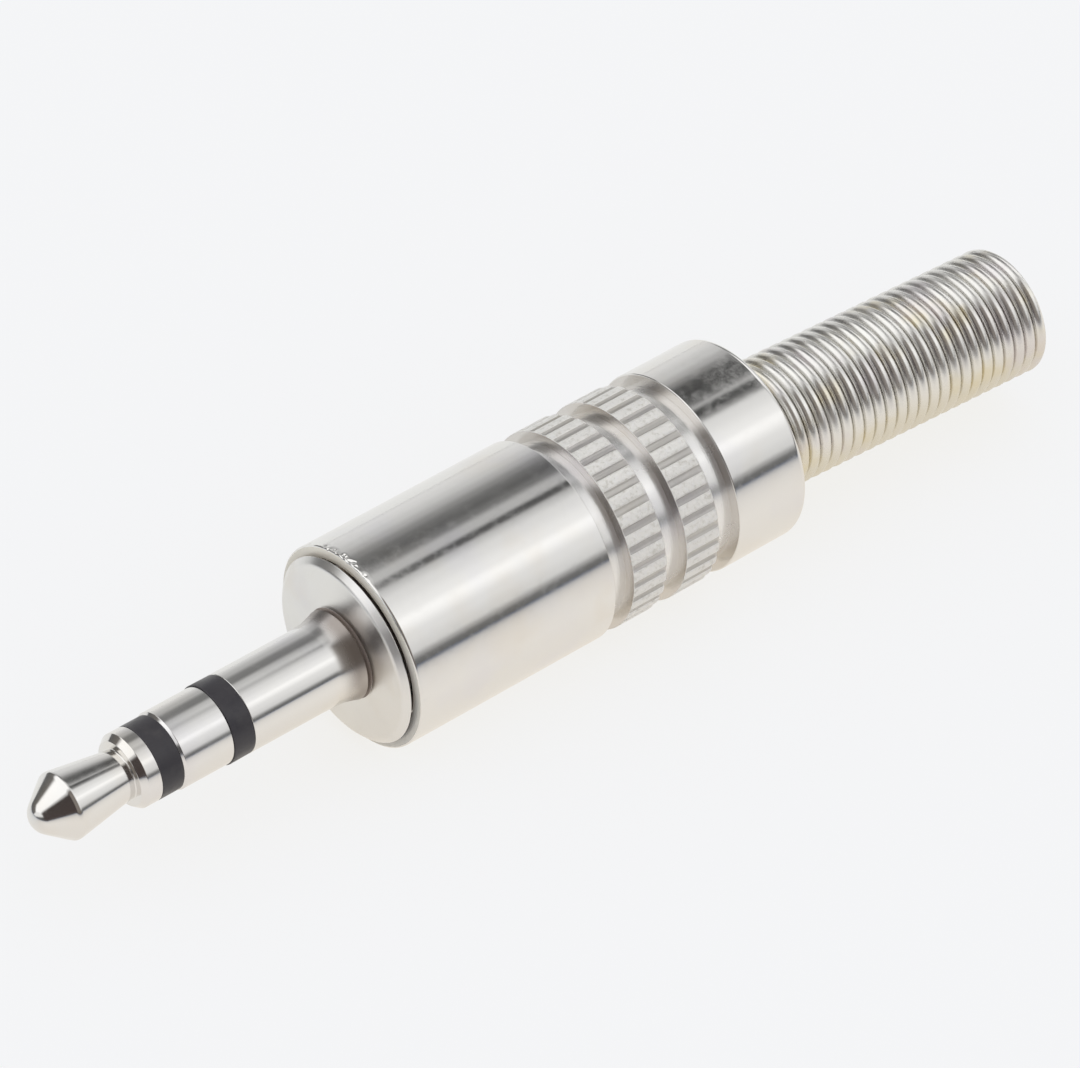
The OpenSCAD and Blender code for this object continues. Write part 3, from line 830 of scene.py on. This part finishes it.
floorShape = {
    "half": 900, "paint": (0.078, 0.113, 0.19, 1), "glow": (0.835, 0.808, 0.749, 1),
    # what metal shows of it from front to back: warm, then shaded by the plug, then paler
    "tones": [(-7, (0.945, 0.872, 0.745, 1)), (-1, (0.86, 0.785, 0.66, 1)), (5, (0.855, 0.825, 0.74, 1))],
    # from here on it gets darker with the distance in front and beyond the tip
    "fadeFrom": (-10, 0), "fadeLength": 100,
}


def seenDirectly(tree):
    # 1 where the camera looks straight at it, and for what metal or glass shows of it
    path = tree.nodes.new("ShaderNodeLightPath")
    most = path.outputs["Is Camera Ray"]
    for name in ("Is Glossy Ray", "Is Transmission Ray"):
        most = calculate(tree, "MAXIMUM", most, path.outputs[name])
    return path, most


def mirroredFloor(tree):
    # the floor as polished metal shows it
    s = floorShape
    place = tree.nodes.new("ShaderNodeTexCoord").outputs["Object"]
    parts = addNode(tree, "ShaderNodeSeparateXYZ", {0: place}).outputs
    front, back = s["tones"][0][0], s["tones"][-1][0]
    share = mapRange(tree, parts["Y"], front * mm, back * mm)
    tone = addRamp(tree, share, [((y - front) / (back - front), colour) for y, colour in s["tones"]])
    fadeX, fadeY = s["fadeFrom"]
    beyond = calculateVector(tree, "SUBTRACT", place, (fadeX * mm, fadeY * mm, 0))
    outside = calculateVector(tree, "MINIMUM", beyond, (0, 0, 0))
    distance = addNode(tree, "ShaderNodeVectorMath", {0: outside}, operation="LENGTH").outputs["Value"]
    lengths = calculate(tree, "MULTIPLY", distance, -1 / (s["fadeLength"] * mm))
    return scaleVector(tree, tone, calculate(tree, "EXPONENT", lengths))


def makeFloor():
    s = floorShape
    half, level = s["half"], -shellRadius
    corners = [(x, y, level) for x, y in ((-half, -half), (half, -half), (half, half), (-half, half))]
    floor = bpy.data.objects.new("floor", meshFrom("floor", np.array(corners), [(0, 1, 2, 3)]))
    scene.collection.objects.link(floor)
    material = bpy.data.materials.new("paleFloor")
    tree = startTree(material)
    paint = addNode(tree, "ShaderNodeBsdfDiffuse", {"Color": s["paint"]})
    path, seen = seenDirectly(tree)
    colour = mixColours(tree, path.outputs["Is Glossy Ray"], s["glow"], mirroredFloor(tree))
    glow = addNode(tree, "ShaderNodeEmission", {"Color": colour, "Strength": seen})
    both = addNode(tree, "ShaderNodeAddShader", {0: paint.outputs[0], 1: glow.outputs[0]})
    addNode(tree, "ShaderNodeOutputMaterial", {"Surface": both.outputs[0]})
    floor.data.materials.append(material)


studio = {
    # brightness by angle over the plug, from the front horizon (0) over the top (90) to the back one (180)
    "cableSide": [(0, 0.15), (5, 0.18), (9, 0.42), (14, 0.78), (30, 0.9), (47, 1.2), (55, 1.02), (74, 0.86),
                  (84, 0.62), (91, 0.1), (97, 0.56), (103, 0.56), (111, 0.2), (119, 0.14), (128, 0.17),
                  (136, 0.27), (145, 0.45), (154, 0.6), (165, 0.74), (180, 0.82)],
    "tipSide": [(0, (0.17, 0.15, 0.135)), (15, (0.24, 0.215, 0.195)), (60, (0.24, 0.215, 0.195)),
                (74, (0.2, 0.18, 0.165)), (80, 0.65), (87, 1.2), (138, 1.25), (152, (0.17, 0.16, 0.15)),
                (180, 0.13)],
    "noseSide": [(0, (0.07, 0.055, 0.052)), (70, (0.06, 0.048, 0.045)), (80, 0.65), (87, 1.2), (138, 1.25),
                 (152, (0.17, 0.16, 0.15)), (180, 0.13)],
    # beyond the tip: a dark and a light half, parted by a slanting horizon
    "farTip": (0.1, 0.95), "farHorizon": (0.06, 0.24), "farSlant": 0.4,
    # where along X each side gives way to the next
    "farChange": (-0.9, -0.84), "noseChange": (-0.62, -0.42), "sideChange": (0.2, 0.36),
    "top": 1.25,  # ramps hold brightness as a share of this
    "backdrop": (0.913, 0.921, 0.939, 1), "fill": (1.2, 0.7),  # fill from the front and from the back
}


def studioRamp(tree, share, stops):
    scaled = []
    for degrees, level in stops:
        colour = level if isinstance(level, tuple) else (level,) * 3
        scaled.append((degrees / 180, [part / studio["top"] for part in colour] + [1]))
    return addRamp(tree, share, scaled, "EASE")


def angleShare(tree, parts):
    # angle over the plug as a share of the half turn from the front horizon to the back one
    ahead = calculate(tree, "MULTIPLY", parts["Y"], -1.0)
    return calculate(tree, "DIVIDE", calculate(tree, "ARCTAN2", parts["Z"], ahead), math.pi)


ceiling = {
    # a curved panel over the plug that only metal shows, from straight above to the back
    "radius": 80, "angles": (79, 174), "span": (15, 600), "steps": 24,
    # its brightness by angle, as each stretch of the plug mirrors it
    "sleeve": [(79, 0.76), (89, 0.56), (98, 0.68), (108, 0.6), (121, 0.22), (134, 0.23), (151, 0.51),
               (174, 0.72)],
    "shell": [(79, 0.72), (84, 0.58), (88, 0.1), (92, 0.08), (96, 0.54), (102, 0.54), (110, 0.2), (118, 0.13),
              (126, 0.17), (134, 0.29), (143, 0.5), (152, 0.66), (163, 0.78), (174, 0.84)],
    "collar": [(79, 0.5), (84, 0.2), (88, 0.05), (92, 0.07), (97, 0.45), (101, 0.19), (106, 0.08),
               (116, 0.05), (125, 0.08), (133, 0.24), (141, 0.48), (151, 0.66), (174, 0.82)],
    "spring": [(79, 0.45), (86, 0.6), (92, 1.0), (97, 1.15), (133, 1.15), (147, 0.28), (164, 0.2),
               (174, 0.5)],
    # where along X the panel changes to each stretch
    "changes": {"shell": (37.8, 40), "collar": (50, 56), "spring": (62, 66)},
}


def makeCeiling():
    s = ceiling
    vertices, faces = [], []
    for i, angle in enumerate(np.radians(np.linspace(*s["angles"], s["steps"] + 1))):
        vertices += [(x, -s["radius"] * math.cos(angle), s["radius"] * math.sin(angle)) for x in s["span"]]
        if i:
            faces.append((2 * i - 2, 2 * i - 1, 2 * i + 1, 2 * i))
    panel = bpy.data.objects.new("ceiling", meshFrom("ceiling", np.array(vertices), faces))
    scene.collection.objects.link(panel)
    panel.visible_camera = False
    panel.visible_diffuse = False
    panel.visible_shadow = False
    panel.visible_transmission = False
    material = bpy.data.materials.new("ceilingPanels")
    tree = startTree(material)
    place = tree.nodes.new("ShaderNodeTexCoord").outputs["Object"]
    parts = addNode(tree, "ShaderNodeSeparateXYZ", {0: place}).outputs
    share = angleShare(tree, parts)
    level = studioRamp(tree, share, s["sleeve"])
    for stretch, (start, end) in s["changes"].items():
        along = mapRange(tree, parts["X"], start * mm, end * mm)
        level = mixColours(tree, along, level, studioRamp(tree, share, s[stretch]))
    glow = addNode(tree, "ShaderNodeEmission", {"Color": level, "Strength": studio["top"]})
    addNode(tree, "ShaderNodeOutputMaterial", {"Surface": glow.outputs[0]})
    panel.data.materials.append(material)


def makeWorld():
    s = studio
    scene.world = bpy.data.worlds.new("studio")
    tree = startTree(scene.world)
    direction = tree.nodes.new("ShaderNodeTexCoord").outputs["Generated"]
    parts = addNode(tree, "ShaderNodeSeparateXYZ", {0: direction}).outputs
    angle = angleShare(tree, parts)
    height = calculate(tree, "MULTIPLY_ADD", parts["Y"], s["farSlant"], parts["Z"])
    dark, light = (level / s["top"] for level in s["farTip"])
    room = mapRange(tree, height, *s["farHorizon"], dark, light, smooth=True)
    for side, change in (("noseSide", "farChange"), ("tipSide", "noseChange"), ("cableSide", "sideChange")):
        share = mapRange(tree, parts["X"], *s[change], smooth=True)
        room = mixColours(tree, share, room, studioRamp(tree, angle, s[side]))
    mirrored = addNode(tree, "ShaderNodeBackground", {"Color": room, "Strength": s["top"]})
    fill = mapRange(tree, parts["Y"], -1.0, 1.0, *s["fill"])
    soft = addNode(tree, "ShaderNodeBackground", {"Color": (1, 1, 1, 1), "Strength": fill})
    backdrop = addNode(tree, "ShaderNodeBackground", {"Color": s["backdrop"], "Strength": 1.0})
    path = tree.nodes.new("ShaderNodeLightPath").outputs
    lit = addNode(tree, "ShaderNodeMixShader", {
        0: path["Is Glossy Ray"], 1: soft.outputs[0], 2: mirrored.outputs[0]})
    shown = addNode(tree, "ShaderNodeMixShader", {
        0: path["Is Camera Ray"], 1: lit.outputs[0], 2: backdrop.outputs[0]})
    addNode(tree, "ShaderNodeOutputWorld", {"Surface": shown.outputs[0]})


makeCamera()
makeFloor()
makeCeiling()
makeWorld()
scene.view_settings.view_transform = "Standard"
print("camera, floor and studio set")
